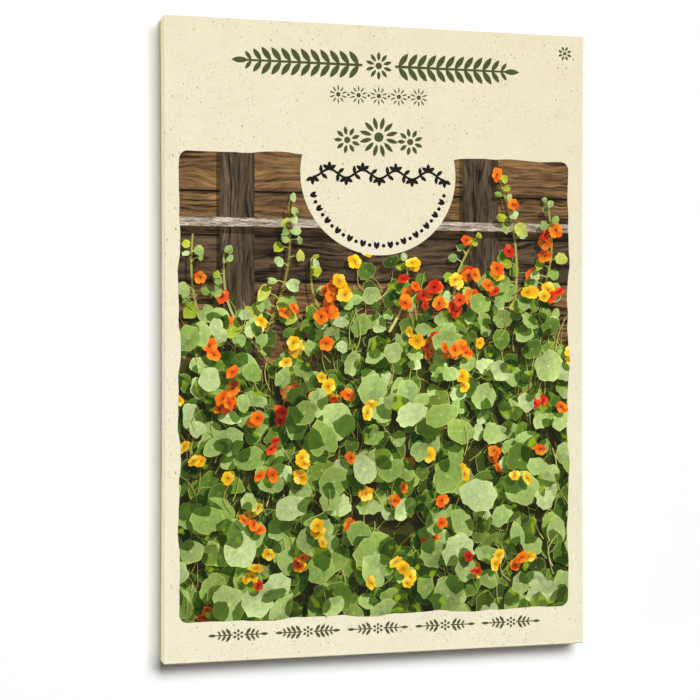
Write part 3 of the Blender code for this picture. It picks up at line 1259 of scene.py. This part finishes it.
# %% [markdown]
# ## Ornament
# Round the picture the front has rows of small plant ornament, in dark olive and near black. Every row is
# made of the same few strokes, as a stamp cutter would make them: pointed leaves and round buds along a line.

# %% Ornament shapes
OLIVE = srgb(74, 84, 42)
FOOT_TONE = srgb(80, 84, 50)
NEAR_BLACK = srgb(22, 22, 18)
SPRIG_LEAF = 0.62


def lens(length, width, points=6):
    """A pointed leaf along its own X, from its foot at 0."""
    upper = []
    for i in range(1, points):
        half = width / 2 * math.sin(math.pi * i / points) ** 0.8
        upper.append((length * i / points, half))
    lower = [(x, -y) for x, y in upper]
    return [(0.0, 0.0), *lower, (length, 0.0), *upper[::-1]]


def paint_lens(drawing, foot, turn, length, width, tone):
    drawing.paint(placed(lens(length, width), foot, turn), "plain", tone)


def paint_dot(drawing, centre, radius, tone):
    drawing.paint(placed(ring(radius, 12), centre, 0), "plain", tone)


def paint_daisy(drawing, centre, radius, petals, tone, plump=1.0):
    """A round flower: a button, a clear gap round it, and pointed petals."""
    paint_dot(drawing, centre, radius * 0.24, tone)
    for i in range(petals):
        turn = 2 * math.pi * (i + 0.5) / petals
        foot = around(centre, radius * 0.36, turn)
        paint_lens(drawing, foot, turn, radius * 0.64, radius * 2.6 * plump / petals, tone)


def paint_sprig(drawing, start, end, middle, height, pitch, tone):
    """A straight sprig whose paired leaves slant towards its end, with one leaf at its tip."""
    ahead = 1 if end > start else -1
    length = height * SPRIG_LEAF
    lean = math.asin(0.5 / SPRIG_LEAF)
    count = int((abs(end - start) - length * 0.8) / pitch)
    stalk = [(start, middle), (end - ahead * length * 0.5, middle)]
    drawing.paint(ribbon(stalk, height * 0.1, height * 0.07), "plain", tone)
    for i in range(count):
        foot = (start + ahead * pitch * (i + 0.35), middle)
        share = min(1.0, 0.45 + 0.2 * (count - i))
        for side in (lean, -lean):
            turn = side if ahead > 0 else math.pi - side
            paint_lens(drawing, foot, turn, length * share, pitch * 0.6 * share, tone)
    tip = (end - ahead * length, middle)
    paint_lens(drawing, tip, 0 if ahead > 0 else math.pi, length, pitch * 0.6, tone)


print("leaves of a sprig lean by", round(math.degrees(math.asin(0.5 / SPRIG_LEAF))), "degrees")

# %% [markdown]
# A bold garland runs across the top, with a light row of rosettes under it. A group of daisies stands above
# the badge, a dark vine crosses it, and leaflets follow its rim. One small flower is in the top corner, and a
# row of fine sprigs runs along the foot.

# %% The ornament rows


def paint_rosettes(drawing, left, right, middle, radius, count, tone):
    """A light row of thin-petalled rosettes with a small dot between two."""
    step = (right - left - 2 * radius) / (count - 1)
    for i in range(count):
        x = left + radius + step * i
        paint_daisy(drawing, (x, middle), radius, 10, tone, 0.6)
        if i < count - 1:
            paint_dot(drawing, (x + step / 2, middle), radius * 0.14, tone)


def paint_rim_row(drawing, centre, radius, start, stop, count, height, tone):
    """Leaflets along an arc, which all point outwards but for a bud at every third."""
    for i in range(count):
        turn = math.radians(start + (stop - start) * i / (count - 1))
        place = around(centre, radius, turn)
        if i % 3 == 2:
            paint_dot(drawing, place, height * 0.24, tone)
            continue
        foot = around(place, -height * 0.5, turn)
        paint_lens(drawing, foot, turn + (0.35 if i % 3 == 0 else -0.35), height, height * 0.46, tone)


def paint_vine(drawing, left, right, middle, height, waves, tone):
    """A dark waving vine, with three leaves outside each bend and a pair astride each slope."""
    steps = waves * 16
    line = []
    for i in range(steps + 1):
        x = left + (right - left) * i / steps
        line.append((x, middle - height * 0.17 * math.cos(math.pi * i / 8)))
    drawing.paint(ribbon(line, height * 0.1, height * 0.1), "plain", tone)
    for i in range(0, steps + 1, 8):
        up = -1 if (i // 8) % 2 == 0 else 1
        for lean in (-1.0, 0.0, 1.0):
            paint_lens(drawing, line[i], up * (math.pi / 2) + lean, height * 0.34, height * 0.17, tone)
    for i in range(4, steps, 8):
        rise = 1 if (i // 8) % 2 == 0 else -1
        for side in (-1, 1):
            paint_lens(drawing, line[i], rise * 0.45 + side * 1.15, height * 0.36, height * 0.16, tone)


print("helpers for rosettes, rim and vine")

# %% Print the ornament
GARLAND_MIDDLE = 71.9
GARLAND_HEIGHT, GARLAND_PITCH = 7.2, 2.6
FOOT_MIDDLE = -75.7
FOOT_HEIGHT, FOOT_PITCH = 3.5, 1.3
FOOT_ENDS = (-47.0, -29.4, -10.2, 8.4, 27.0, 45.6)


def paint_ornament():
    drawing = Drawing()
    for start, end in ((-5.2, -40.0), (3.8, 38.6)):
        paint_sprig(drawing, start, end, GARLAND_MIDDLE, GARLAND_HEIGHT, GARLAND_PITCH, OLIVE)
    paint_daisy(drawing, (-0.7, GARLAND_MIDDLE), 3.7, 10, OLIVE)
    paint_rosettes(drawing, -14.2, 12.8, 64.0, 2.5, 5, OLIVE)
    paint_daisy(drawing, (-0.7, 53.2), 5.4, 12, OLIVE)
    paint_daisy(drawing, (-9.3, 52.2), 3.6, 9, OLIVE)
    paint_daisy(drawing, (7.9, 52.2), 3.6, 9, OLIVE)
    paint_vine(drawing, -18.6, 17.4, 43.4, 6.2, 4, NEAR_BLACK)
    paint_rim_row(drawing, BADGE_CENTRE, 18.7, -164, -16, 39, 2.1, NEAR_BLACK)
    paint_daisy(drawing, (51.8, 77.6), 2.0, 8, OLIVE)
    for left, right in zip(FOOT_ENDS, FOOT_ENDS[1:]):
        middle = (left + right) / 2
        for start, end in ((middle - 1.5, left + 0.9), (middle + 1.5, right - 0.9)):
            paint_sprig(drawing, start, end, FOOT_MIDDLE, FOOT_HEIGHT, FOOT_PITCH, FOOT_TONE)
        paint_daisy(drawing, (middle, FOOT_MIDDLE), 1.5, 6, FOOT_TONE)
    return drawing


def make_ornament_ink():
    material, tree, surface, where = new_finish("ornament_ink", 0.85)
    tone = attribute(tree, "tone", "Color")
    uneven_ink = ramp(tree, noise(tree, where, 1500, 3.0), 0.3, 0.75, 0.9, 1.2)
    wire(tree, surface.inputs["Base Color"], scaled(tree, tone, uneven_ink))
    wire(tree, surface.inputs["Normal"], paper_bump(tree, where, 0.25))
    return material


def in_ink(inside):
    """True for a triangle that any outline holds."""
    return len(inside) > 0


ornament_ink = make_ornament_ink()
print_mesh("front_ornament", paint_ornament(), in_ink, ornament_ink)
